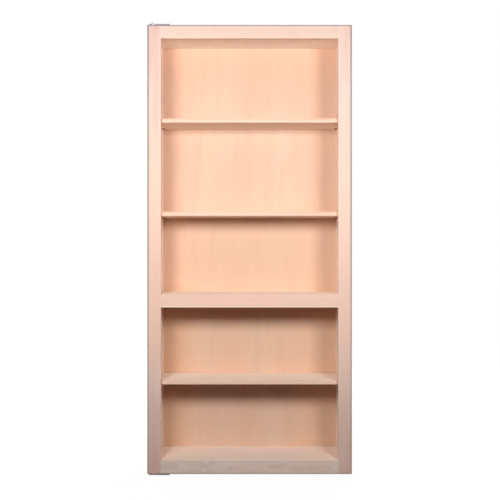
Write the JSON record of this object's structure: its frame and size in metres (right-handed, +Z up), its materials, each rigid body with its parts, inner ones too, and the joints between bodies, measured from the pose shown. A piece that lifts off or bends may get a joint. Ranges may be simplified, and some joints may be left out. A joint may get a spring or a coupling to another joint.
{
  "type": "hidden door bookcase",
  "caption": "Face-framed wooden bookcase that hangs on floor and head pivots as a hidden door, with adjustable shelves and a magnetic catch.",
  "frame": {"origin": "on the floor under the middle of the closed bookcase, at the bottom centre of its box", "axes": "+X to the right of someone in the room who faces the bookcase, +Y back into the wall, +Z up; the pivots are at -X"},
  "size_m": [0.9144, 0.2032, 2.0258],
  "materials": {
    "maple": "bare sanded maple",
    "maple_plywood": "bare sanded maple veneer",
    "hardwood": "sawn",
    "zinc_steel": "bright zinc plated",
    "bright_steel": "ground",
    "spring_steel": "drawn wire",
    "nylon": "moulded",
    "brown_plastic": "moulded",
    "ferrite": "sintered, matt"
  },
  "bodies": {
    "door_opening": {"floor_plate": "zinc_steel", "floor_pivot_pin": "bright_steel", "thrust_washer": "nylon", "head_plate": "zinc_steel", "head_bush": "nylon", "keeper_angle": "zinc_steel"},
    "bookcase": {"left_stile": "maple", "right_stile": "maple", "top_rail": "maple", "middle_rail": "maple", "bottom_rail": "maple", "left_side": "maple_plywood", "right_side": "maple_plywood", "top_panel": "maple_plywood", "fixed_shelf": "maple_plywood", "bottom_panel": "maple_plywood", "back_panel": "maple_plywood", "pivot_block": "hardwood", "upper_shelf_pin_left_front": "bright_steel", "upper_shelf_pin_left_rear": "bright_steel", "upper_shelf_pin_right_front": "bright_steel", "upper_shelf_pin_right_rear": "bright_steel", "centre_shelf_pin_left_front": "bright_steel", "centre_shelf_pin_left_rear": "bright_steel", "centre_shelf_pin_right_front": "bright_steel", "centre_shelf_pin_right_rear": "bright_steel", "lower_shelf_pin_left_front": "bright_steel", "lower_shelf_pin_left_rear": "bright_steel", "lower_shelf_pin_right_front": "bright_steel", "lower_shelf_pin_right_rear": "bright_steel", "bottom_pivot_plate": "zinc_steel", "top_pivot_housing": "zinc_steel", "top_housing_screw_1": "zinc_steel", "top_housing_screw_2": "zinc_steel", "catch_screw_1": "zinc_steel", "catch_screw_2": "zinc_steel", "bottom_plate_screw_1": "zinc_steel", "bottom_plate_screw_2": "zinc_steel", "bottom_plate_screw_3": "zinc_steel", "bottom_plate_screw_4": "zinc_steel", "lower_pole_plate": "bright_steel", "upper_pole_plate": "bright_steel", "bottom_pivot_bush": "nylon", "top_pivot_spring": "spring_steel", "catch_case": "brown_plastic", "catch_magnet": "ferrite"},
    "upper_shelf": {"upper_shelf": "maple_plywood", "upper_shelf_edging": "maple"},
    "centre_shelf": {"centre_shelf": "maple_plywood", "centre_shelf_edging": "maple"},
    "lower_shelf": {"lower_shelf": "maple_plywood", "lower_shelf_edging": "maple"},
    "top_pin": {"top_pivot_pin": "bright_steel"}
  },
  "joints": [
    {"name": "door_swing", "type": "hinge", "parent": "door_opening", "child": "bookcase", "pos_m": [-0.4322, -0.0921, 0], "axis": [0, 0, -1], "range_deg": [0, 110]},
    {"name": "upper_shelf_lift", "type": "slide", "parent": "bookcase", "child": "upper_shelf", "axis": [0, 0, 1], "range_m": [0, 0.05]},
    {"name": "centre_shelf_lift", "type": "slide", "parent": "bookcase", "child": "centre_shelf", "axis": [0, 0, 1], "range_m": [0, 0.05]},
    {"name": "lower_shelf_lift", "type": "slide", "parent": "bookcase", "child": "lower_shelf", "axis": [0, 0, 1], "range_m": [0, 0.05]},
    {"name": "top_pin_press", "type": "slide", "parent": "bookcase", "child": "top_pin", "axis": [0, 0, -1], "range_m": [0, 0.013], "stiffness_N_per_m": 600, "springref_m": -0.012, "deforming": ["top_pivot_spring"]}
  ]
}
